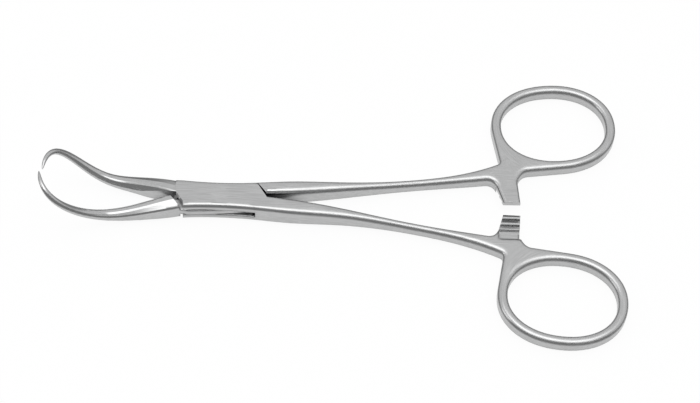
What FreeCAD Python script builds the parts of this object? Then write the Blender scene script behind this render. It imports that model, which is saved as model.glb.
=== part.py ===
import FreeCAD, Part
import math
import os

os.makedirs("parts", exist_ok=True)

# Towel clamp, closed by its ratchet and pointed at both claw tips. Millimetres, Z up, X towards the rings.
# The hinge axis is Z at the origin and the clamp lies on the plane Z = 0.
# Both halves are made with the handle on +Y and the jaw on -Y. The box half is mirrored at the end.

# Box lock
box_thickness = 5.2
box_half_width = 3.45
box_end_flare = 0.35
cheek_thickness = 1.75
slot_half_length = 8.3
key_side_clearance = 0.04
key_end_clearance = 0.10
key_half_width = 3.4
key_half_length = 12.5
key_straight_length = 7.0
key_root_overlap = 0.1
slot_over_cut = 2.0
closing_angle = 3.6
edge_radius = 0.8

# Ends of the two cheeks, seen from above: the slanting edges that face the full-depth parts of the key half
ring_end_outer_x = 8.3
ring_end_inner_x = 10.6
jaw_end_inner_x = 10.15
jaw_end_inner_y = 0.67
jaw_end_outer_x = 8.3
jaw_end_corner_y = 2.1
box_root_inner = -0.05
key_root_inner = 0.85
key_neck_inner = 0.65
ring_shoulder_gap = 0.12
ring_shoulder_wedge = 7.0
jaw_shoulder_gap = 1.75
jaw_shoulder_wedge = 6.0
box_jaw_flank = 0.45
key_jaw_flank = 0.65
jaw_flank_angle = 9.0

# Rivet pin
pin_radius = 1.75
pin_running_clearance = 0.04
pin_head_radius = 2.15
pin_head_depth = 0.5

# Shank: edges seen from above, from the box to the ring. Each point is a distance back from the ring's
# centre and a distance from the middle line.
shank_outer = [(62.35, 4.45), (50.35, 4.95), (33.35, 6.95), (20.35, 9.80)]
shank_corner = (13.05, 12.65)
shank_inner = [(52.45, 1.22), (39.75, 4.68), (28.15, 5.95), (16.75, 7.65)]
shank_thickness = 3.4
taper_start_x = 12.0
taper_end_to_ring = 20.35
underside_end_to_ring = 16.35
underside_lift = 0.85
corner_radius = 1.0

# Finger ring: an oval a little squarer than an ellipse
ring_x = 78.35
ring_y = 23.86
ring_half_length = 13.67
ring_half_width = 11.07
ring_turn = 5.5
ring_squareness = 2.12
ring_band = 2.3

# Ratchet arm and its teeth: places along X are steps from the left side of its tip
arm_to_ring = 12.65
arm_tip_width = 4.0
arm_tip_slant = 0.1
key_arm_tip_y = 1.5
box_arm_tip_y = 0.85
arm_root_left_step = 1.4
arm_root_left_setback = 0.1
arm_root_right_step = 3.5
arm_root_right_y = 7.5
arm_flare_step = 6.2
arm_flare_y = 10.6
arm_flare_reach = 1.9
arm_gap = 0.10
arm_recess_run = 0.33
arm_recess_length = 2.65
arm_recess_inset = 0.05
tooth_depth = 0.5
tooth_pitch = 1.65
tooth_count = 3
tooth_land = 0.25
tooth_first_edge = 0.87
arm_tip_clear = 2.0

# Claw jaw: poles of its centreline, with heights measured from the middle of the thickness
jaw_root = (-10.0, -1.25, 0.0)
jaw_swell = (-22.0, -5.3, -0.15)
jaw_dip = (-27.45, -4.2, -2.15)
jaw_rise = (-29.73, -4.90, -0.75)
jaw_crown = (-38.89, -12.82, 11.85)
jaw_tip = (-40.37, -0.43, 9.85)
jaw_tip_offset = 0.34
jaw_tip_lift = -0.16
jaw_start_length = 3.5
jaw_root_half_width = 2.45
jaw_body_half_width = 1.3
jaw_root_half_height = 2.45
jaw_body_half_height = 1.15
jaw_root_fade = 5
jaw_flat_fade = 8

# Facets of the jaw's section at its root and towards the point, as shares of its half width and half height
outer_facet = (0.80, 0.26)
inner_facet = (0.62, 0.62)
under_facet = (0.40, 0.28)
point_facet = (0.55, 0.55)
facet_fade = 1.4
jaw_point_fullness = 0.42
jaw_point_half_size = 0.10
jaw_sections = 11
jaw_section_bunching = 1.6
root_softness = 0.35
point_softness = 0.90

# How far a cut runs past a face, and the angles between which the shank's edges touch the ring
through_cut = 1.0
left_touch_span = (150, 235)
right_touch_span = (235, 300)

middle = box_thickness / 2
across_reach = ring_y + 2 * ring_half_width
last_tooth_y = key_arm_tip_y + tooth_first_edge + (tooth_count - 1) * tooth_pitch
recess_turn_y = last_tooth_y + arm_recess_run
recess_end_y = recess_turn_y + arm_recess_length
arm_tip_left_x = ring_x - arm_to_ring
arm_root_left = (arm_tip_left_x - arm_root_left_step, recess_turn_y - arm_root_left_setback)
arm_root_right = (arm_tip_left_x + arm_root_right_step, arm_root_right_y)
arm_flare_end = (arm_tip_left_x + arm_flare_step, arm_flare_y)


def vec(x, y, z=0.0):
    return FreeCAD.Vector(x, y, z)


def line(a, b):
    return Part.LineSegment(a, b).toShape()


def bezier(poles):
    curve = Part.BezierCurve()
    curve.setPoles(poles)
    return curve.toShape()


def smooth_edge(points):
    curve = Part.BSplineCurve()
    curve.interpolate(points)
    return curve.toShape()


def closed_lines(points):
    """Straight edges from each point to the next and back to the first."""
    return [line(a, b) for a, b in zip(points, points[1:] + points[:1])]


def plate(edges, bottom, top):
    """Solid between two heights with the given outline."""
    face = Part.Face(Part.Wire(edges))
    face.translate(vec(0, 0, bottom))
    return face.extrude(vec(0, 0, top - bottom))


def polygon_plate(corners, bottom, top):
    return plate(closed_lines([vec(x, y) for x, y in corners]), bottom, top)


def across_plate(edges):
    """Solid that runs right across both sides, with the given outline seen from the side."""
    face = Part.Face(Part.Wire(edges))
    face.translate(vec(0, -across_reach, 0))
    return face.extrude(vec(0, 2 * across_reach, 0))


def turned(point, degrees):
    angle = math.radians(degrees)
    c = math.cos(angle)
    s = math.sin(angle)
    return vec(point.x * c - point.y * s, point.x * s + point.y * c)


def oval_point(degrees, grow):
    """Point of the finger ring's oval, moved outward from the middle of the band."""
    c = math.cos(math.radians(degrees))
    s = math.sin(math.radians(degrees))
    power = 2 / ring_squareness
    x = math.copysign(abs(c) ** power, c) * (ring_half_length + grow)
    y = math.copysign(abs(s) ** power, s) * (ring_half_width + grow)
    return vec(ring_x, ring_y) + turned(vec(x, y), ring_turn)


def oval_side(corner, degrees):
    here = oval_point(degrees, ring_band / 2)
    ahead = oval_point(degrees + 0.5, ring_band / 2)
    return (here - corner).cross(ahead - here).z


def touch_angle(corner, low, high):
    """Angle at which a straight edge from the corner just touches the ring's outside."""
    low_side = oval_side(corner, low)
    for step in range(40):
        middle_angle = (low + high) / 2
        if oval_side(corner, middle_angle) * low_side > 0:
            low = middle_angle
        else:
            high = middle_angle
    return low


def ring_opening():
    angles = [i * 10.0 for i in range(36)]
    curve = Part.BSplineCurve()
    curve.interpolate([oval_point(a, -ring_band / 2) for a in angles], PeriodicFlag=True)
    return plate([curve.toShape()], -through_cut, box_thickness + through_cut)


def back_from_ring(distance):
    """Place along X at a distance back from the ring's centre, to a millionth of a millimetre."""
    return round(ring_x - distance, 6)


def before_ring(point):
    """Point given by its distance back from the ring's centre and its distance from the middle line."""
    return vec(back_from_ring(point[0]), point[1])


def box_side(y):
    """The box is slightly waisted: three points of one long side."""
    reach = box_half_width + box_end_flare
    sign = math.copysign(1, y)
    jaw_end = vec(-jaw_end_outer_x, sign * reach)
    ring_end = vec(ring_end_outer_x, sign * reach)
    return [jaw_end, vec(0, sign * box_half_width), ring_end]


def handle_blank(root_inner, arm_tip_y):
    """Box block, shank, ratchet arm and finger ring of one half, full depth and with rounded edges."""
    outer = box_side(1) + [before_ring(point) for point in shank_outer + [shank_corner]]
    corner = outer[-1]
    flare_end = vec(*arm_flare_end)
    left_angle = touch_angle(corner, *left_touch_span)
    right_angle = touch_angle(flare_end, *right_touch_span) - 360
    count = 36
    angles = [left_angle + (right_angle - left_angle) * i / count for i in range(count + 1)]
    oval = [oval_point(a, ring_band / 2) for a in angles]
    inner = [vec(ring_end_inner_x, root_inner)] + [before_ring(point) for point in shank_inner]
    along = (inner[-1] - inner[-2]).normalize()
    back = (flare_end - oval[-1]).normalize()
    tip_left = vec(arm_tip_left_x, arm_tip_y)
    tip_right = vec(arm_tip_left_x + arm_tip_width, arm_tip_y + arm_tip_slant)
    root_left = vec(*arm_root_left)
    root_right = vec(*arm_root_right)
    far_side = box_side(-1)
    jaw_end = vec(-jaw_end_inner_x, far_side[0].y)
    edges = [smooth_edge(outer), line(corner, oval[0]), smooth_edge(oval), line(oval[-1], flare_end)]
    edges.append(bezier([flare_end, flare_end + back * arm_flare_reach, root_right]))
    edges += [line(root_right, tip_right), line(tip_right, tip_left), line(tip_left, root_left)]
    edges.append(bezier([root_left, inner[-1] + along * arm_flare_reach, inner[-1]]))
    edges.append(bezier(list(reversed(inner))))
    edges.append(line(inner[0], far_side[2]))
    edges.append(smooth_edge(list(reversed(far_side))))
    edges.append(line(far_side[0], jaw_end))
    edges.append(line(jaw_end, vec(-jaw_end_inner_x, -jaw_end_inner_y)))
    edges.append(line(vec(-jaw_end_inner_x, -jaw_end_inner_y), vec(-jaw_end_outer_x, jaw_end_corner_y)))
    edges.append(line(vec(-jaw_end_outer_x, jaw_end_corner_y), outer[0]))
    blank = plate(edges, 0, box_thickness).cut(ring_opening())
    blank = blank.cut(thickness_taper()).cut(underside_relief())
    upright = [e for e in blank.Edges if upright_at(e, corner)]
    blank = blank.makeFillet(corner_radius, upright)
    return blank.makeFillet(edge_radius, [e for e in blank.Edges if is_long_edge(e)])


def thickness_taper():
    """What is taken off above the shank and ring, from full box depth down to the ring's depth."""
    start = vec(taper_start_x, 0, box_thickness)
    end = vec(back_from_ring(taper_end_to_ring), 0, shank_thickness)
    reach = (end.x - start.x) / 2
    slope = bezier([start, start + vec(reach, 0, 0), end - vec(reach, 0, 0), end])
    far = vec(ring_x + 2 * ring_half_length, 0, shank_thickness)
    above = vec(far.x, 0, box_thickness + through_cut)
    above_start = vec(taper_start_x, 0, above.z)
    edges = [slope, line(end, far), line(far, above), line(above, above_start), line(above_start, start)]
    return across_plate(edges)


def underside_relief():
    """Shallow hollow under the shank, so that the clamp lies on its box and rings."""
    heights = [0, 0, underside_lift, underside_lift, underside_lift, 0, 0]
    start = vec(taper_start_x, 0, 0)
    end = vec(back_from_ring(underside_end_to_ring), 0, 0)
    step = (end.x - start.x) / (len(heights) - 1)
    arch = bezier([vec(taper_start_x + i * step, 0, h) for i, h in enumerate(heights)])
    below_end = end - vec(0, 0, through_cut)
    below_start = start - vec(0, 0, through_cut)
    return across_plate([arch, line(end, below_end), line(below_end, below_start), line(below_start, start)])


def upright_at(edge, point):
    box = edge.BoundBox
    middle_point = box.Center
    return box.ZLength > 1 and math.hypot(middle_point.x - point.x, middle_point.y - point.y) < 0.2


def is_long_edge(edge):
    """True for the top and bottom edges that the forging has rounded."""
    box = edge.BoundBox
    upright = box.ZLength > 2 and box.XLength < 0.01
    across_top = box.XLength < 0.01
    at_tip = box.YMax < arm_root_left[1] and box.XMin > arm_tip_left_x - 0.01
    at_jaw_end = box.XMax < -jaw_end_outer_x + 0.01
    middle_point = edge.valueAt((edge.FirstParameter + edge.LastParameter) / 2)
    at_ring_end = box.XMin > ring_end_outer_x - 0.01 and box.XMax < ring_end_inner_x + 0.01
    at_ring_end = at_ring_end and middle_point.y < key_root_inner + 0.1
    side_height = underside_lift < middle_point.z < shank_thickness - 0.01
    return not (upright or across_top or at_tip or at_jaw_end or at_ring_end or side_height)


def jaw_point(poles, t):
    n = len(poles) - 1
    total = vec(0, 0, 0)
    for i, pole in enumerate(poles):
        total += pole * (math.comb(n, i) * t ** i * (1 - t) ** (n - i))
    return total


def facet_at(root_facet, t):
    """Shares that a facet takes off the section, from the jaw's root at t = 0 to its point at t = 1."""
    fade = min(1, facet_fade * t)
    return [a * (1 - fade) + b * fade for a, b in zip(root_facet, point_facet)]


def bevelled_section(centre, across, upward, half_width, half_height, t, softness):
    """Eight-sided outline with rounded corners, the forged section of a jaw."""
    under = facet_at(under_facet, t)
    outer = facet_at(outer_facet, t)
    inner = facet_at(inner_facet, t)
    facets = [(1, -1, under), (1, 1, outer), (-1, 1, inner), (-1, -1, under)]
    corners = []
    for side, face, (off_width, off_height) in facets:
        on_side = centre + across * (side * half_width) + upward * (face * half_height * (1 - off_height))
        on_face = centre + across * (side * half_width * (1 - off_width)) + upward * (face * half_height)
        corners += [on_side, on_face] if side == face else [on_face, on_side]
    count = len(corners)
    arcs = []
    for i, corner in enumerate(corners):
        before = corners[i - 1] - corner
        after = corners[(i + 1) % count] - corner
        reach = softness * 0.5 * min(before.Length, after.Length)
        before.normalize()
        after.normalize()
        half_turn = (math.pi - before.getAngle(after)) / 2
        depth = reach / math.tan(half_turn) * (1 / math.cos(half_turn) - 1)
        bisector = (before + after).normalize()
        arcs.append((corner + before * reach, corner + bisector * depth, corner + after * reach))
    edges = []
    for i, (start, mid, end) in enumerate(arcs):
        edges.append(Part.Arc(start, mid, end).toShape())
        edges.append(line(end, arcs[(i + 1) % count][0]))
    return Part.Wire(edges)


def claw_jaw(tip_shift, tip_lift):
    """Jaw that swells out, curves up out of the plane of the handles and ends in a needle point."""
    tip = vec(jaw_tip[0] + tip_shift, jaw_tip[1], jaw_tip[2] + tip_lift)
    bends = [vec(*p) for p in (jaw_root, jaw_swell, jaw_dip, jaw_rise, jaw_crown)]
    poles = [p + vec(0, 0, middle) for p in bends + [tip]]
    wires = []
    for i in range(jaw_sections):
        t = 1 - (1 - i / (jaw_sections - 1)) ** jaw_section_bunching
        centre = jaw_point(poles, t)
        ahead = min(t + 0.001, 1)
        along = (jaw_point(poles, ahead) - jaw_point(poles, ahead - 0.002)).normalize()
        across = vec(0, 0, 1).cross(along).normalize()
        upward = along.cross(across)
        root_share = (1 - t) ** jaw_root_fade
        size = (1 - t) ** jaw_point_fullness
        width = jaw_root_half_width * root_share + jaw_body_half_width * (1 - root_share)
        flat_share = (1 - t) ** jaw_flat_fade * (1 + jaw_flat_fade * t)
        height = jaw_root_half_height * flat_share + jaw_body_half_height * (1 - flat_share)
        half_width = jaw_point_half_size + width * size
        half_height = jaw_point_half_size + height * size
        softness = root_softness * (1 - t) + point_softness * t
        if i == 0:
            inside = centre - along * jaw_start_length
            wires.append(bevelled_section(inside, across, upward, half_width, half_height, t, softness))
        wires.append(bevelled_section(centre, across, upward, half_width, half_height, t, softness))
    return Part.makeLoft(wires, True, False)


def jaw_flank(offset):
    """Space on the inner side of a jaw's root, between the two jaws."""
    turn_point = vec(-ring_end_inner_x, -offset)
    far = jaw_rise[0]
    corners = [(far, -offset), (0, -offset), (0, across_reach), (far, across_reach)]
    space = polygon_plate(corners, -across_reach, across_reach)
    space.rotate(turn_point, vec(0, 0, 1), jaw_flank_angle)
    return space


def pin_body(extra):
    """Rivet with countersunk ends; extra makes the running hole around the middle of it."""
    rim = pin_head_radius + extra
    neck = pin_radius + extra
    shoulder = box_thickness - pin_head_depth
    lower = [(0, 0), (rim, 0), (neck, pin_head_depth)]
    upper = [(neck, shoulder), (rim, box_thickness), (0, box_thickness)]
    wire = Part.Wire(closed_lines([vec(x, 0, z) for x, z in lower + upper]))
    return Part.Face(wire).revolve(vec(0, 0, 0), vec(0, 0, 1), 360)


def tooth_profile(arm_tip_y, base, height, beyond):
    """Side view of one toothed arm face, as the outline of what is cut away beyond it."""
    points = [(arm_tip_y - arm_tip_clear, beyond)]
    edge = arm_tip_y + tooth_first_edge
    start = edge - tooth_pitch
    for i in range(tooth_count):
        points += [(start, base), (edge - tooth_land, base + height), (edge, base + height)]
        start = edge
        edge += tooth_pitch
    points += [(start, base), (recess_turn_y, base), (recess_turn_y, beyond)]
    return points


def ratchet_cutter(arm_tip_y, base, height, beyond):
    """What is cut away over the teeth, and over the plain recess between them and the web of the ring."""
    left = arm_root_left[0] - arm_tip_clear
    right = arm_tip_left_x + arm_tip_width + arm_tip_clear
    points = [vec(left, y, z) for y, z in tooth_profile(arm_tip_y, base, height, beyond)]
    teeth = Part.Face(Part.Wire(closed_lines(points))).extrude(vec(right - left, 0, 0))
    recess_left = arm_root_left[0] + arm_recess_inset
    near = recess_turn_y - 2 * arm_recess_inset
    corners = [(recess_left, near), (right, near), (right, recess_end_y), (recess_left, recess_end_y)]
    return teeth.fuse(polygon_plate(corners, min(base, beyond), max(base, beyond)))


def slot():
    """Window between the cheeks, open to the sides where the key half leaves it."""
    low = cheek_thickness
    high = box_thickness - cheek_thickness
    s = slot_half_length
    side = box_half_width + 2 * box_end_flare + slot_over_cut
    end = ring_end_inner_x + slot_over_cut
    inside = s - slot_over_cut
    window = [(-s, -side), (s, -side), (s, side), (-s, side)]
    ring_side = [(inside, -side), (end, -side), (end, box_root_inner), (inside, box_root_inner)]
    jaw_side = [(-end, -box_jaw_flank), (-inside, -box_jaw_flank), (-inside, side), (-end, side)]
    sides = [polygon_plate(corners, low, high) for corners in (ring_side, jaw_side)]
    return polygon_plate(window, low, high).fuse(sides)


def key():
    """Thin part of the key half in the slot. Its sides are flush with the box when the ratchet is closed."""
    low = cheek_thickness + key_side_clearance
    high = box_thickness - cheek_thickness - key_side_clearance
    end_radius = slot_half_length - key_end_clearance
    along = math.sqrt(end_radius ** 2 - key_half_width ** 2)
    corner = turned(vec(along, -key_half_width), closing_angle)
    neck = vec(math.sqrt(end_radius ** 2 - key_neck_inner ** 2), key_neck_inner)
    bulge = (corner + neck).normalize() * end_radius
    far_low = vec(key_half_length, key_root_inner + key_root_overlap)
    far_high = vec(key_half_length, key_half_width - 2 * key_root_overlap)
    side = turned(vec(key_straight_length, key_half_width), closing_angle)
    half = [corner, bulge, neck, far_low, far_high, side]
    edges = []
    for sign in (1, -1):
        c, b, n, fl, fh, sd = [p * sign for p in half]
        opposite = half[0] * -sign
        edges.append(Part.Arc(c, b, n).toShape())
        edges += [line(n, fl), line(fl, fh), line(fh, sd), line(sd, opposite)]
    return plate(edges, low, high)


def box_half():
    jaw = claw_jaw(jaw_tip_offset, jaw_tip_lift)
    body = handle_blank(box_root_inner, box_arm_tip_y).fuse(jaw.cut(jaw_flank(box_jaw_flank)))
    body = body.cut(slot())
    body = body.cut(pin_body(0))
    crest = (shank_thickness - arm_gap) / 2
    above = box_thickness + through_cut
    body = body.cut(ratchet_cutter(box_arm_tip_y, crest - tooth_depth, tooth_depth, above))
    return body.removeSplitter().mirror(vec(0, 0, 0), vec(0, 1, 0))


def beside_shoulder(corner, along, far_x):
    """Space between a slanting shoulder and a far X."""
    low = corner + along * across_reach
    high = corner - along * across_reach
    corners = [(high.x, high.y), (low.x, low.y), (far_x, low.y), (far_x, high.y)]
    return polygon_plate(corners, -across_reach, across_reach)


def key_half():
    shank = handle_blank(key_root_inner, key_arm_tip_y)
    cheek_corner = vec(ring_end_outer_x, box_half_width + box_end_flare)
    edge = (vec(ring_end_inner_x, box_root_inner) - cheek_corner).normalize()
    start = cheek_corner + vec(-edge.y, edge.x) * ring_shoulder_gap
    shank = shank.cut(beside_shoulder(start, turned(edge, ring_shoulder_wedge), -across_reach))
    jaw = claw_jaw(-jaw_tip_offset, -jaw_tip_lift)
    jaw_edge = vec(jaw_end_inner_x - jaw_end_outer_x, -jaw_end_inner_y - jaw_end_corner_y).normalize()
    jaw_out = vec(jaw_edge.y, -jaw_edge.x)
    corner = vec(-jaw_end_inner_x, jaw_end_inner_y) + jaw_out * jaw_shoulder_gap
    jaw = jaw.cut(jaw_flank(key_jaw_flank))
    jaw = jaw.cut(beside_shoulder(corner, turned(jaw_edge, jaw_shoulder_wedge), across_reach))
    body = shank.fuse([key(), jaw])
    bore_length = box_thickness + 2 * through_cut
    bore_radius = pin_radius + pin_running_clearance
    body = body.cut(Part.makeCylinder(bore_radius, bore_length, vec(0, 0, -through_cut)))
    crest = (shank_thickness + arm_gap) / 2
    body = body.cut(ratchet_cutter(key_arm_tip_y, crest + tooth_depth, -tooth_depth, -through_cut))
    return body.removeSplitter()


box_half().exportStep("parts/female_half.step")
key_half().exportStep("parts/male_half.step")
pin_body(0).exportStep("parts/pivot_pin.step")
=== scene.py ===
"""Looks of a ring-handled towel clamp: satin steel halves, ground rivet pin, pale studio."""

import logging
import math
from dataclasses import dataclass, field
from enum import Enum

import bpy
from mathutils import Matrix, Vector

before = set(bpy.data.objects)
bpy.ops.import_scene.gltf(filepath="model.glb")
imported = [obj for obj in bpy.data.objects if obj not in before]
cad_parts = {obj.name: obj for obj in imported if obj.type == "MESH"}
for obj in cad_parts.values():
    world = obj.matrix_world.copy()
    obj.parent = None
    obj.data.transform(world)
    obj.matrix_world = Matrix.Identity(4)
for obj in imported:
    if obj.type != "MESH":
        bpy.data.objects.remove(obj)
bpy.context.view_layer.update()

MM = 0.001
PHOTO_WIDTH_PX = 700
STEEL_TINT = (0.995, 1.0, 1.003)

Socket = bpy.types.NodeSocket
Value = float | tuple[float, ...] | Socket
Span = tuple[float | Socket, float | Socket]
Triple = tuple[float, float, float]

log = logging.getLogger("towel_clamp")


class Piece(Enum):
    """The solids of the clamp, by node name."""

    BOX_HALF = "female_half"
    KEY_HALF = "male_half"
    PIN = "pivot_pin"


class Side(Enum):
    """Which side of the middle line a half's finger ring lies on, as the sign of its Y."""

    FRONT = -1
    BACK = 1


class Ray(Enum):
    """Kinds of ray, by the Light Path output that tells them apart."""

    CAMERA = "Is Camera Ray"
    GLOSSY = "Is Glossy Ray"
    TRANSMISSION = "Is Transmission Ray"


class Blend(Enum):
    """What a Mix node mixes: its data type, and the type of its sockets."""

    COLOUR = ("RGBA", "RGBA")
    NUMBER = ("FLOAT", "VALUE")
    VECTOR = ("VECTOR", "VECTOR")


class Sheet:
    """A node tree with short calls to add and join nodes."""

    def __init__(self, tree: bpy.types.NodeTree) -> None:
        """Takes the tree of a material, world or group, and empties it."""
        self.tree = tree
        tree.nodes.clear()

    def add(self, kind: str, **settings: object) -> bpy.types.Node:
        """Adds a node.

        Args:
            kind: node type without the ShaderNode prefix.
            settings: node properties to set.

        Returns:
            The new node.
        """
        name = kind if kind.startswith("NodeGroup") else "ShaderNode" + kind
        node = self.tree.nodes.new(name)
        for key, setting in settings.items():
            setattr(node, key, setting)
        return node

    def link(self, source: Socket, target: Socket) -> None:
        """Joins an output to an input."""
        self.tree.links.new(source, target)

    def feed(self, target: Socket, value: Value) -> None:
        """Puts a plain value or another node's output into an input.

        Args:
            target: the input.
            value: a number or a tuple, or an output to join to the input.
        """
        if isinstance(value, Socket):
            self.link(value, target)
        else:
            target.default_value = value

    def fill(self, node: bpy.types.Node, values: dict[str, Value]) -> bpy.types.Node:
        """Feeds several inputs of a node.

        Args:
            node: the node.
            values: input name to plain value or output.

        Returns:
            The same node.
        """
        for name, value in values.items():
            self.feed(node.inputs[name], value)
        return node

    def group(self, tree: bpy.types.NodeTree, **values: Value) -> bpy.types.NodeOutputs:
        """Places a node group, with its inputs named with underscores for spaces, and gives its outputs."""
        named = {name.replace("_", " "): value for name, value in values.items()}
        return self.fill(self.add("Group", node_tree=tree), named).outputs

    def calc(self, operation: str, *values: Value, clamp: bool = False) -> Socket:
        """Adds a Math node.

        Args:
            operation: the node's operation.
            values: its inputs, numbers or outputs.
            clamp: keeps the result between 0 and 1.

        Returns:
            The node's output.
        """
        node = self.add("Math", operation=operation, use_clamp=clamp)
        for socket, value in zip(node.inputs, values):
            self.feed(socket, value)
        return node.outputs[0]

    def vector(self, operation: str, *values: Value) -> bpy.types.Node:
        """Adds a Vector Math node.

        Args:
            operation: the node's operation.
            values: its inputs, tuples or outputs.

        Returns:
            The node.
        """
        node = self.add("VectorMath", operation=operation)
        for socket, value in zip(node.inputs, values):
            self.feed(socket, value)
        return node

    def scaled(self, vector: Socket, scale: Value) -> Socket:
        """A vector times a number."""
        return self.fill(self.vector("SCALE", vector), {"Scale": scale}).outputs[0]

    def distance(self, x: Socket, y: Socket) -> Socket:
        """Length of the arrow from (0, 0) to (x, y)."""
        squares = self.calc("ADD", self.calc("MULTIPLY", x, x), self.calc("MULTIPLY", y, y))
        return self.calc("SQRT", squares)

    def swing(self, value: Socket, spread: Value) -> Socket:
        """Turns a value from 0 to 1 into one from half a spread below 0 to half a spread above."""
        return self.calc("MULTIPLY", self.calc("SUBTRACT", value, 0.5), spread)

    def ramp(self, value: Socket, span: Span, result: Span, smooth: bool = True) -> Socket:
        """Maps a value from one span to another.

        Args:
            value: what is mapped.
            span: the two ends that it is read between.
            result: the results at those ends.
            smooth: eases in and out, instead of running straight.

        Returns:
            The mapped value.
        """
        node = self.add("MapRange", interpolation_type="SMOOTHSTEP" if smooth else "LINEAR")
        ends = dict(zip(("From Min", "From Max", "To Min", "To Max"), span + result))
        return self.fill(node, {"Value": value, **ends}).outputs["Result"]

    def mix(self, blend: Blend, share: Socket, low: Value, high: Value) -> Socket:
        """Mixes two colours, numbers or vectors.

        Args:
            blend: what is mixed.
            share: how much of the second one shows.
            low: the first one.
            high: the second one.

        Returns:
            The mixture.
        """
        data_type, kind = blend.value
        node = self.add("Mix", data_type=data_type)
        ends = [end for end in node.inputs if end.type == kind and end.name in ("A", "B")]
        for socket, value in zip((node.inputs["Factor"], *ends), (share, low, high)):
            self.feed(socket, value)
        return next(end for end in node.outputs if end.type == kind)

    def split(self, vector: Socket) -> tuple[Socket, Socket, Socket]:
        """The X, Y and Z of a vector."""
        return tuple(self.fill(self.add("SeparateXYZ"), {"Vector": vector}).outputs)

    def join(self, x: Socket, y: Socket, z: Socket) -> Socket:
        """A vector made of its X, Y and Z."""
        return self.fill(self.add("CombineXYZ"), {"X": x, "Y": y, "Z": z}).outputs[0]

    def noise(self, vector: Socket, detail: float, **values: float) -> Socket:
        """A noise pattern read at a vector, with so many finer layers and its other inputs by name."""
        inputs = {"Vector": vector, "Scale": 1.0, "Detail": detail, **values}
        return self.fill(self.add("TexNoise"), inputs).outputs["Fac"]

    def place(self) -> Socket:
        """Where a point lies on the clamp at rest, in metres."""
        return self.add("TexCoord").outputs["Object"]

    def ray(self, kind: Ray) -> Socket:
        """1 for rays of a kind, and 0 for others."""
        return self.add("LightPath").outputs[kind.value]


GroupParts = tuple[bpy.types.NodeTree, Sheet, bpy.types.Node, bpy.types.Node]


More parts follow.
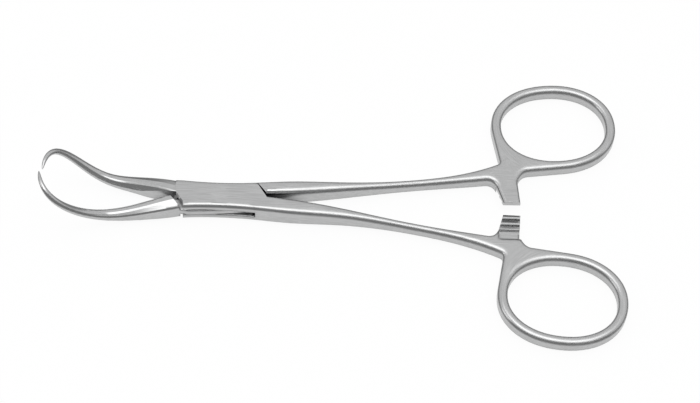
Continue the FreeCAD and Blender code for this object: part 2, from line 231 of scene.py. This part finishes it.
@dataclass
class ShaderKit:
    """Node groups that the steel finishes share, each built once. The grain's sizes are in millimetres."""

    turn_fade: Span = (-1.0, 3.0)
    ring_fade: Span = (0.0, 12.0)
    line_detail: float = 3.0
    line_breakup: float = 0.6
    fleck_detail: float = 2.0
    streak_span: Span = (0.35, 0.65)
    wear_samples: int = 4
    wear_patches_per_metre: float = 350.0
    wear_patch_detail: float = 2.0
    cloud_detail: float = 4.0
    cloud_swirl: float = 0.4
    scratched_clouds: Span = (0.50, 0.62)
    scratch_turn: Triple = (0.2, 0.1, 0.7)
    scratch_stretch: Triple = (0.25, 2.2, 2.2)
    scratch_scale: float = 0.35
    scratch_width: float = 0.022
    # samples of the occlusion test behind the painted shade in gaps and corners
    painted_shade_samples: int = 8
    edge_samples: int = 8
    grain_path: bpy.types.NodeTree = field(init=False)
    satin_grain: bpy.types.NodeTree = field(init=False)
    off_pin: bpy.types.NodeTree = field(init=False)
    edge_wear: bpy.types.NodeTree = field(init=False)
    handling_marks: bpy.types.NodeTree = field(init=False)
    painted_crevice_shade: bpy.types.NodeTree = field(init=False)
    soft_edges: bpy.types.NodeTree = field(init=False)

    def __post_init__(self) -> None:
        """Builds the groups, each one after those that it places."""
        self.grain_path = self._grain_path()
        self.satin_grain = self._satin_grain()
        self.off_pin = self._off_pin()
        self.edge_wear = self._edge_wear()
        self.handling_marks = self._handling_marks()
        self.painted_crevice_shade = self._painted_crevice_shade()
        self.soft_edges = self._soft_edges()

    @staticmethod
    def _group(name: str, inputs: dict[str, tuple[str, Value]], outputs: dict[str, str]) -> GroupParts:
        """Starts a group with named sockets.

        Args:
            name: the group's name.
            inputs: socket name to kind and default value.
            outputs: socket name to kind.

        Returns:
            The group, its sheet, and its input and output nodes.
        """
        tree = bpy.data.node_groups.new(name, "ShaderNodeTree")
        for label, (kind, default) in inputs.items():
            socket = tree.interface.new_socket(name=label, in_out="INPUT", socket_type="NodeSocket" + kind)
            socket.default_value = default
        for label, kind in outputs.items():
            tree.interface.new_socket(name=label, in_out="OUTPUT", socket_type="NodeSocket" + kind)
        sheet = Sheet(tree)
        return tree, sheet, sheet.add("NodeGroupInput"), sheet.add("NodeGroupOutput")

    def _grain_path(self) -> bpy.types.NodeTree:
        """Coordinates in millimetres that run along the shank and then around the finger ring.

        Returns:
            The group.
        """
        tree, sheet, given, made = self._group(
            "grain_path",
            {"Ring X": ("Float", 78.0), "Ring Y": ("Float", 24.0), "Ring Reach": ("Float", 16.0)},
            {"Vector": "Vector", "Ring": "Float"},
        )
        reach = given.outputs["Ring Reach"]
        straight = sheet.scaled(sheet.place(), 1 / MM)
        x, y, z = sheet.split(straight)
        dx = sheet.calc("SUBTRACT", x, given.outputs["Ring X"])
        dy = sheet.calc("SUBTRACT", y, given.outputs["Ring Y"])
        radius = sheet.distance(dx, dy)
        turn = sheet.calc("MULTIPLY", sheet.calc("ARCTAN2", dy, dx), reach)
        around = sheet.join(turn, radius, z)
        excess = sheet.calc("SUBTRACT", radius, reach)
        share = sheet.ramp(excess, self.turn_fade, (0.0, 1.0))
        sheet.link(sheet.mix(Blend.VECTOR, share, around, straight), made.inputs["Vector"])
        sheet.link(sheet.ramp(excess, self.ring_fade, (1.0, 0.0)), made.inputs["Ring"])
        return tree

    def _satin_grain(self) -> bpy.types.NodeTree:
        """Fine lines left by the satin belt, with a soft matt fleck between them.

        Returns:
            The group.
        """
        tree, sheet, given, made = self._group(
            "satin_grain",
            {
                "Vector": ("Vector", (0.0, 0.0, 0.0)),
                "Line Length": ("Float", 4.0),
                "Line Width": ("Float", 0.12),
                "Fleck Size": ("Float", 0.10),
                "Fleck Share": ("Float", 0.4),
            },
            {"Height": "Float", "Streak": "Float"},
        )
        across = sheet.calc("DIVIDE", 1.0, given.outputs["Line Width"])
        stretch = sheet.join(sheet.calc("DIVIDE", 1.0, given.outputs["Line Length"]), across, across)
        lines_at = sheet.vector("MULTIPLY", given.outputs["Vector"], stretch).outputs[0]
        lines = sheet.noise(lines_at, self.line_detail, Roughness=self.line_breakup)
        per_fleck = sheet.calc("DIVIDE", 1.0, given.outputs["Fleck Size"])
        flecks = sheet.noise(sheet.scaled(given.outputs["Vector"], per_fleck), self.fleck_detail)
        height = sheet.mix(Blend.NUMBER, given.outputs["Fleck Share"], lines, flecks)
        sheet.link(height, made.inputs["Height"])
        sheet.link(sheet.ramp(lines, self.streak_span, (0.0, 1.0)), made.inputs["Streak"])
        return tree

    def _off_pin(self) -> bpy.types.NodeTree:
        """Mask that is 0 on the face ground together with the pin and 1 elsewhere.

        Returns:
            The group.
        """
        tree, sheet, given, made = self._group(
            "off_pin", {"Reach": ("Float", 0.0031)}, {"Mask": "Float"}
        )
        x, y, _ = sheet.split(sheet.place())
        mask = sheet.calc("GREATER_THAN", sheet.distance(x, y), given.outputs["Reach"])
        sheet.link(mask, made.inputs["Mask"])
        return tree

    def _edge_wear(self) -> bpy.types.NodeTree:
        """Mask of the edges that polishing and handling have brightened.

        Returns:
            The group.
        """
        tree, sheet, given, made = self._group(
            "edge_wear",
            {"Radius": ("Float", 0.0003), "Gain": ("Float", 6.0), "Breakup": ("Float", 0.5)},
            {"Mask": "Float"},
        )
        bevel = sheet.add("Bevel", samples=self.wear_samples)
        sheet.link(given.outputs["Radius"], bevel.inputs["Radius"])
        real = sheet.add("NewGeometry").outputs["Normal"]
        match = sheet.vector("DOT_PRODUCT", bevel.outputs["Normal"], real).outputs["Value"]
        strong = sheet.calc("MULTIPLY", sheet.calc("SUBTRACT", 1.0, match), given.outputs["Gain"])
        patches = sheet.noise(sheet.place(), self.wear_patch_detail, Scale=self.wear_patches_per_metre)
        broken = sheet.swing(patches, given.outputs["Breakup"])
        held = sheet.calc("MULTIPLY", strong, sheet.calc("ADD", 1.0, broken), clamp=True)
        mask = sheet.calc("MULTIPLY", held, sheet.group(self.off_pin)["Mask"])
        sheet.link(mask, made.inputs["Mask"])
        return tree

    def _handling_marks(self) -> bpy.types.NodeTree:
        """Broad cloudy patches and a few hair scratches from use and cleaning.

        Returns:
            The group.
        """
        tree, sheet, given, made = self._group(
            "handling_marks",
            {
                "Vector": ("Vector", (0.0, 0.0, 0.0)),
                "Patch Size": ("Float", 7.0),
                "Scratch Share": ("Float", 0.5),
            },
            {"Patches": "Float", "Scratches": "Float"},
        )
        per_patch = sheet.calc("DIVIDE", 1.0, given.outputs["Patch Size"])
        clouds_at = sheet.scaled(given.outputs["Vector"], per_patch)
        clouds = sheet.noise(clouds_at, self.cloud_detail, Distortion=self.cloud_swirl)
        sheet.link(clouds, made.inputs["Patches"])
        tilted = sheet.fill(
            sheet.add("Mapping"),
            {
                "Vector": given.outputs["Vector"],
                "Rotation": self.scratch_turn,
                "Scale": self.scratch_stretch,
            },
        )
        cells = sheet.fill(
            sheet.add("TexVoronoi", feature="DISTANCE_TO_EDGE"),
            {"Vector": tilted.outputs[0], "Scale": self.scratch_scale},
        )
        hair = sheet.ramp(cells.outputs["Distance"], (0.0, self.scratch_width), (1.0, 0.0))
        rare = sheet.ramp(clouds, self.scratched_clouds, (0.0, 1.0))
        found = sheet.calc("MULTIPLY", hair, rare)
        share = sheet.calc("MULTIPLY", found, given.outputs["Scratch Share"], clamp=True)
        sheet.link(share, made.inputs["Scratches"])
        return tree

    def _painted_crevice_shade(self) -> bpy.types.NodeTree:
        """Mask of painted shade: the narrow gaps and corners that an occlusion test finds, where the base
        colour is darkened to stand in for shade.

        Returns:
            The group.
        """
        tree, sheet, given, made = self._group(
            "painted_crevice_shade",
            {"Reach": ("Float", 0.001), "Shut": ("Float", 0.15), "Open": ("Float", 0.48)},
            {"Mask": "Float"},
        )
        around = sheet.add("AmbientOcclusion", samples=self.painted_shade_samples)
        sheet.link(given.outputs["Reach"], around.inputs["Distance"])
        span = sheet.calc("SUBTRACT", given.outputs["Open"], given.outputs["Shut"])
        over = sheet.calc("SUBTRACT", around.outputs["AO"], given.outputs["Shut"])
        light = sheet.calc("DIVIDE", over, span, clamp=True)
        sheet.link(sheet.calc("SUBTRACT", 1.0, light, clamp=True), made.inputs["Mask"])
        return tree

    def _soft_edges(self) -> bpy.types.NodeTree:
        """Normals rounded where the belt rolled over edges, less at the jaws, shoulders and teeth.

        Returns:
            The group.
        """
        tree, sheet, given, made = self._group(
            "soft_edges",
            {
                "Radius": ("Float", 0.0005),
                "Fine Radius": ("Float", 0.0001),
                "Box Share": ("Float", 0.6),
                "Box End": ("Float", 0.010),
                "Shank Start": ("Float", 0.022),
                "Jaw Start": ("Float", -0.012),
                "Shoulder Start": ("Float", 0.0070),
                "Shoulder End": ("Float", 0.0130),
                "Shoulder Side": ("Float", 0.0030),
                "Arm Start": ("Float", 0.0635),
                "Arm Side": ("Float", 0.0060),
            },
            {"Normal": "Vector"},
        )
        limit = given.outputs
        x, y, _ = sheet.split(sheet.place())
        along = sheet.calc("ABSOLUTE", x)
        across = sheet.calc("ABSOLUTE", y)
        on_jaw = sheet.calc("LESS_THAN", x, limit["Jaw Start"])
        past_shank = sheet.calc("GREATER_THAN", x, limit["Arm Start"])
        by_arm = sheet.calc("LESS_THAN", across, limit["Arm Side"])
        on_arm = sheet.calc("MULTIPLY", past_shank, by_arm)
        past_box = sheet.calc("GREATER_THAN", along, limit["Shoulder Start"])
        before_end = sheet.calc("LESS_THAN", along, limit["Shoulder End"])
        by_shoulder = sheet.calc("LESS_THAN", across, limit["Shoulder Side"])
        on_shoulder = sheet.calc("MULTIPLY", sheet.calc("MULTIPLY", past_box, before_end), by_shoulder)
        fine = sheet.calc("MAXIMUM", sheet.calc("MAXIMUM", on_jaw, on_arm), on_shoulder)
        box_to_shank = (limit["Box End"], limit["Shank Start"])
        share = sheet.ramp(x, box_to_shank, (limit["Box Share"], 1.0), smooth=False)
        rolled = sheet.calc("MULTIPLY", share, limit["Radius"])
        radius = sheet.mix(Blend.NUMBER, fine, rolled, limit["Fine Radius"])
        kept = sheet.calc("MULTIPLY", radius, sheet.group(self.off_pin)["Mask"])
        rounding = sheet.add("Bevel", samples=self.edge_samples)
        sheet.link(kept, rounding.inputs["Radius"])
        sheet.link(rounding.outputs["Normal"], made.inputs["Normal"])
        return tree


def grey(level: float) -> tuple[float, ...]:
    """A neutral colour with the faint coolness of stainless steel."""
    return (*(level * tint for tint in STEEL_TINT), 1.0)


def bare_metal(slot: str) -> tuple[bpy.types.Material, Sheet, bpy.types.Node]:
    """Starts a metal material.

    Args:
        slot: the record's name for the finish.

    Returns:
        The material, its sheet and its shader.
    """
    material = bpy.data.materials.new(slot + "_finish")
    material.use_nodes = True
    sheet = Sheet(material.node_tree)
    shader = sheet.add("BsdfPrincipled")
    shader.inputs["Metallic"].default_value = 1.0
    sheet.link(shader.outputs[0], sheet.add("OutputMaterial").inputs["Surface"])
    return material, sheet, shader


@dataclass(frozen=True)
class SatinSteel:
    """Belt-finished stainless steel, as on the forged halves.

    The grain's lines are in millimetres. Depth, radii, edges and reach are in metres.
    """

    slot: str
    level: float = 0.56
    level_spread: float = 0.065
    streak_share: float = 0.60
    worn_level: float = 0.66
    roughness: float = 0.17
    roughness_spread: float = 0.05
    worn_roughness: float = 0.16
    ring_roughness: float = 0.03
    line_length: float = 6.0
    line_width: float = 0.20
    fleck_share: float = 0.45
    grain_depth: float = 0.004 * MM
    grain_strength: float = 0.22
    wear_radius: float = 0.22 * MM
    wear_gain: float = 3.0
    broken_edge: float = 0.10 * MM
    rolled_edge: float = 1.40 * MM
    # painted shade: base colour in gaps and corners, and how far the occlusion test looks
    painted_shade_level: float = 0.12
    painted_shade_reach: float = 3.0 * MM

    def build(self, kit: ShaderKit, ring_x: float, ring_y: float, ring_reach: float) -> bpy.types.Material:
        """Makes the material.

        Args:
            kit: shared node groups.
            ring_x: X of the ring that the grain runs around, in millimetres.
            ring_y: its Y.
            ring_reach: its outer half length.

        Returns:
            The material.
        """
        material, sheet, shader = bare_metal(self.slot)
        path = sheet.group(kit.grain_path, Ring_X=ring_x, Ring_Y=ring_y, Ring_Reach=ring_reach)
        grain = sheet.group(
            kit.satin_grain,
            Vector=path["Vector"],
            Line_Length=self.line_length,
            Line_Width=self.line_width,
            Fleck_Share=self.fleck_share,
        )
        marks = sheet.group(kit.handling_marks, Vector=path["Vector"])
        wear = sheet.group(kit.edge_wear, Radius=self.wear_radius, Gain=self.wear_gain)
        # painted shade: occlusion mask of gaps and corners, used below to darken the base colour
        painted_crevice_shade = sheet.group(kit.painted_crevice_shade, Reach=self.painted_shade_reach)

        low, high = self.level - self.level_spread, self.level + self.level_spread
        streaks = sheet.calc("MULTIPLY", grain["Streak"], self.streak_share)
        patches = sheet.calc("MULTIPLY", marks["Patches"], 1.0 - self.streak_share)
        tone = sheet.calc("ADD", streaks, patches, clamp=True)
        steel = sheet.mix(Blend.COLOUR, tone, grey(low), grey(high))
        scratched = sheet.mix(Blend.COLOUR, marks["Scratches"], steel, grey(self.worn_level))
        edged = sheet.mix(Blend.COLOUR, wear["Mask"], scratched, grey(self.worn_level))
        # painted shade: base colour darkened in gaps and corners by the occlusion mask
        shaded = sheet.mix(Blend.COLOUR, painted_crevice_shade["Mask"], edged, grey(self.painted_shade_level))
        sheet.link(shaded, shader.inputs["Base Color"])

        rough = sheet.calc("ADD", sheet.swing(tone, self.roughness_spread), self.roughness)
        worn = sheet.calc("MULTIPLY", wear["Mask"], self.worn_roughness - self.roughness)
        handled = sheet.calc("MULTIPLY", path["Ring"], self.ring_roughness)
        dulled = sheet.calc("ADD", sheet.calc("ADD", rough, worn), handled, clamp=True)
        sheet.link(dulled, shader.inputs["Roughness"])

        rounding = sheet.group(kit.soft_edges, Radius=self.rolled_edge, Fine_Radius=self.broken_edge)
        bump = sheet.fill(
            sheet.add("Bump"),
            {
                "Strength": self.grain_strength,
                "Distance": self.grain_depth,
                "Height": grain["Height"],
                "Normal": rounding["Normal"],
            },
        )
        sheet.link(bump.outputs["Normal"], shader.inputs["Normal"])
        return material


@dataclass(frozen=True)
class GroundSteel:
    """Rivet steel ground flush with the cheeks, with fine turned rings left under the grinding.

    Line length and ring pitch are in millimetres. Depth and radius are in metres.
    """

    slot: str
    level: float = 0.55
    level_spread: float = 0.03
    worn_level: float = 0.57
    roughness: float = 0.24
    roughness_spread: float = 0.06
    line_length: float = 3.0
    ring_pitch: float = 0.16
    ring_share: float = 0.3
    ring_depth: float = 0.003 * MM
    ring_strength: float = 0.2
    wear_radius: float = 0.12 * MM

    def build(self, kit: ShaderKit) -> bpy.types.Material:
        """Makes the material.

        Args:
            kit: shared node groups.

        Returns:
            The material.
        """
        material, sheet, shader = bare_metal(self.slot)
        in_mm = sheet.scaled(sheet.place(), 1 / MM)
        grain = sheet.group(kit.satin_grain, Vector=in_mm, Line_Length=self.line_length)
        wear = sheet.group(kit.edge_wear, Radius=self.wear_radius)

        low, high = self.level - self.level_spread, self.level + self.level_spread
        steel = sheet.mix(Blend.COLOUR, grain["Streak"], grey(low), grey(high))
        edged = sheet.mix(Blend.COLOUR, wear["Mask"], steel, grey(self.worn_level))
        sheet.link(edged, shader.inputs["Base Color"])
        rough = sheet.calc("ADD", sheet.swing(grain["Streak"], self.roughness_spread), self.roughness)
        sheet.link(rough, shader.inputs["Roughness"])

        x, y, _ = sheet.split(in_mm)
        turn = sheet.calc("MULTIPLY", sheet.distance(x, y), math.tau / self.ring_pitch)
        rings = sheet.calc("MULTIPLY", sheet.calc("SINE", turn), self.ring_share)
        bump = sheet.fill(
            sheet.add("Bump"),
            {
                "Strength": self.ring_strength,
                "Distance": self.ring_depth,
                "Height": sheet.calc("ADD", rings, grain["Height"]),
            },
        )
        sheet.link(bump.outputs["Normal"], shader.inputs["Normal"])
        return material


def set_finish(piece: Piece, material: bpy.types.Material) -> None:
    """Puts a material on a solid and reports it.

    Args:
        piece: the solid.
        material: its material.
    """
    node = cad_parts[piece.value]
    node.data.materials.clear()
    node.data.materials.append(material)
    log.info("%s: %d faces, finish %s", piece.value, len(node.data.polygons), material.name)


@dataclass
class ForgedHalf:
    """A forged half: claw jaw, box or key, shank, ratchet arm and finger ring. Sizes in millimetres."""

    piece: Piece
    side: Side
    finish: SatinSteel
    ring_x: float = 78.35
    ring_y: float = 23.86
    ring_reach: float = 15.0

    def dress(self, kit: ShaderKit) -> None:
        """Gives the half its satin finish."""
        material = self.finish.build(kit, self.ring_x, self.side.value * self.ring_y, self.ring_reach)
        set_finish(self.piece, material)


@dataclass
class RivetPin:
    """The pin that joins the halves, flush with both cheeks."""

    finish: GroundSteel
    piece: Piece = Piece.PIN

    def dress(self, kit: ShaderKit) -> None:
        """Gives the pin its ground finish."""
        set_finish(self.piece, self.finish.build(kit))


@dataclass
class Studio:
    """Pale floor, light tent and a soft lamp. Sizes in metres, leans in degrees from overhead."""

    floor_half: float = 1.6
    floor_drop: float = 0.02 * MM
    floor_level: float = 0.86
    backdrop_level: float = 1.025
    seen_share: float = 0.92
    mirrored_share: float = 0.60
    far_floor_level: float = 0.05
    far_floor_facing: Span = (0.30, 0.80)
    back_tone: float = 0.97
    strip_tone: float = 2.5
    front_tone: float = 0.36
    horizon_tone: float = 0.30
    strip_leans: tuple[float, float, float, float] = (-30.0, -15.0, 8.0, 26.0)
    strip_half_length: float = 0.27
    strip_fade: float = 1.6
    horizon_rise: Span = (0.08, 0.45)
    lamp_place: Triple = (-0.60, -0.05, 0.35)
    lamp_aim: Triple = (0.03, 0.0, 0.0)
    lamp_size: tuple[float, float] = (0.30, 0.40)
    lamp_watts: float = 0.25

    def build(self) -> None:
        """Builds the floor, the tent's tones and the lamp."""
        self._floor()
        self._tent()
        self._lamp()
        log.info("studio: floor, tent and lamp")

    def _seen(self, sheet: Sheet) -> Socket:
        """Share of the floor's own white: more for the camera's rays than for mirrored ones.

        Args:
            sheet: sheet of the floor's material.

        Returns:
            The share.
        """
        indirect = sheet.calc("MAXIMUM", sheet.ray(Ray.GLOSSY), sheet.ray(Ray.TRANSMISSION))
        direct = sheet.calc("MULTIPLY", sheet.ray(Ray.CAMERA), self.seen_share)
        return sheet.calc("MAXIMUM", direct, sheet.calc("MULTIPLY", indirect, self.mirrored_share))

    def _floor(self) -> None:
        """A pale floor that keeps the clamp's shadow."""
        mesh = bpy.data.meshes.new("floor")
        half = self.floor_half
        corners = [(-half, -half, 0), (half, -half, 0), (half, half, 0), (-half, half, 0)]
        mesh.from_pydata(corners, [], [(0, 1, 2, 3)])
        floor = bpy.data.objects.new("floor", mesh)
        floor.location.z = -self.floor_drop
        bpy.context.scene.collection.objects.link(floor)
        material = bpy.data.materials.new("pale_floor")
        material.use_nodes = True
        sheet = Sheet(material.node_tree)
        matt = sheet.add("BsdfDiffuse")
        matt.inputs["Color"].default_value = (self.floor_level, self.floor_level, self.floor_level, 1)
        facing = sheet.add("LayerWeight").outputs["Facing"]
        near_to_far = (self.backdrop_level, self.far_floor_level)
        mirrored = sheet.ramp(facing, self.far_floor_facing, near_to_far)
        direct = sheet.calc("MULTIPLY", sheet.ray(Ray.CAMERA), self.backdrop_level)
        glow = sheet.add("Emission")
        sheet.link(sheet.calc("MAXIMUM", mirrored, direct), glow.inputs["Strength"])
        mix = sheet.add("MixShader")
        for socket, source in zip(mix.inputs, (self._seen(sheet), matt.outputs[0], glow.outputs[0])):
            sheet.link(source, socket)
        sheet.link(mix.outputs[0], sheet.add("OutputMaterial").inputs["Surface"])
        floor.data.materials.append(material)

    def _tent(self) -> None:
        """World tones: a bright strip overhead, dim in front and at the horizon, white to the camera."""
        world = bpy.data.worlds.new("tent")
        bpy.context.scene.world = world
        world.use_nodes = True
        sheet = Sheet(world.node_tree)
        x, y, z = sheet.split(sheet.add("TexCoord").outputs["Generated"])
        lean = sheet.calc("ARCTAN2", sheet.calc("MULTIPLY", y, -1.0), z)
        opens, opened, closes, closed = (math.radians(angle) for angle in self.strip_leans)
        opening = sheet.ramp(lean, (opens, opened), (self.back_tone, self.strip_tone))
        closing = sheet.ramp(lean, (closes, closed), (self.strip_tone, self.front_tone))
        in_front = sheet.calc("GREATER_THAN", lean, 0.5 * (opened + closes))
        strip = sheet.mix(Blend.NUMBER, in_front, opening, closing)
        ends = (self.strip_half_length, self.strip_fade * self.strip_half_length)
        side = sheet.ramp(sheet.calc("ABSOLUTE", x), ends, (self.strip_tone, self.back_tone))
        band = sheet.calc("MINIMUM", strip, side)
        raised = sheet.ramp(z, self.horizon_rise, (0.0, 1.0))
        tone = sheet.mix(Blend.NUMBER, raised, self.horizon_tone, band)
        level = sheet.mix(Blend.NUMBER, sheet.ray(Ray.CAMERA), tone, self.backdrop_level)
        back = sheet.fill(sheet.add("Background"), {"Strength": level})
        sheet.link(back.outputs[0], sheet.add("OutputWorld").inputs["Surface"])

    def _lamp(self) -> None:
        """A soft area lamp beside the claws, aimed at the clamp."""
        data = bpy.data.lights.new("left", "AREA")
        data.shape = "RECTANGLE"
        data.size, data.size_y = self.lamp_size
        data.energy = self.lamp_watts
        lamp = bpy.data.objects.new("left", data)
        lamp.location = self.lamp_place
        aim = Vector(self.lamp_aim) - lamp.location
        lamp.rotation_euler = aim.to_track_quat("-Z", "Y").to_euler()
        bpy.context.scene.collection.objects.link(lamp)


@dataclass
class PhotoCamera:
    """Camera at the photograph's angle. Angles in radians, lengths in millimetres, focal_px in pixels."""

    tilt: float = 0.59289
    yaw: float = 0.0326
    roll: float = 0.00962
    distance: float = 485.85
    target: Triple = (30.101, 0.933, 2.35)
    focal_px: float = 2099.6
    sensor: float = 36.0
    nearest: float = 10.0
    farthest: float = 20000.0

    def _axes(self) -> tuple[Vector, Vector, Vector]:
        """Works out which way the camera faces.

        Returns:
            Its right, its up, and the way back from the target to it.
        """
        flat = math.cos(self.yaw)
        back = Vector((-math.sin(self.yaw), -math.sin(self.tilt) * flat, math.cos(self.tilt) * flat))
        back.normalize()
        level = Vector((0, 1, 0)).cross(back).normalized()
        rise = back.cross(level)
        right = math.cos(self.roll) * level + math.sin(self.roll) * rise
        up = math.cos(self.roll) * rise - math.sin(self.roll) * level
        return right, up, back

    def build(self) -> None:
        """Makes the camera and sets it as the scene's."""
        right, up, back = self._axes()
        data = bpy.data.cameras.new("camera")
        data.sensor_width = self.sensor
        data.lens = self.focal_px * self.sensor / PHOTO_WIDTH_PX
        data.clip_start = self.nearest * MM
        data.clip_end = self.farthest * MM
        camera = bpy.data.objects.new("camera", data)
        turn = Matrix((right, up, back)).transposed().to_4x4()
        place = (Vector(self.target) + back * self.distance) * MM
        camera.matrix_world = Matrix.Translation(place) @ turn
        bpy.context.scene.collection.objects.link(camera)
        bpy.context.scene.camera = camera
        log.info("camera: %.1f mm lens, %.0f mm away", data.lens, self.distance)


def main() -> None:
    """Builds the whole scene in order."""
    logging.basicConfig(level=logging.INFO, format="%(name)s %(message)s")
    bpy.context.scene.view_settings.view_transform = "Standard"
    PhotoCamera().build()
    Studio().build()
    kit = ShaderKit()
    ForgedHalf(Piece.BOX_HALF, Side.FRONT, SatinSteel("satin_steel_box_half")).dress(kit)
    ForgedHalf(Piece.KEY_HALF, Side.BACK, SatinSteel("satin_steel_key_half")).dress(kit)
    RivetPin(GroundSteel("ground_steel_pin")).dress(kit)


if __name__ == "__main__":
    main()
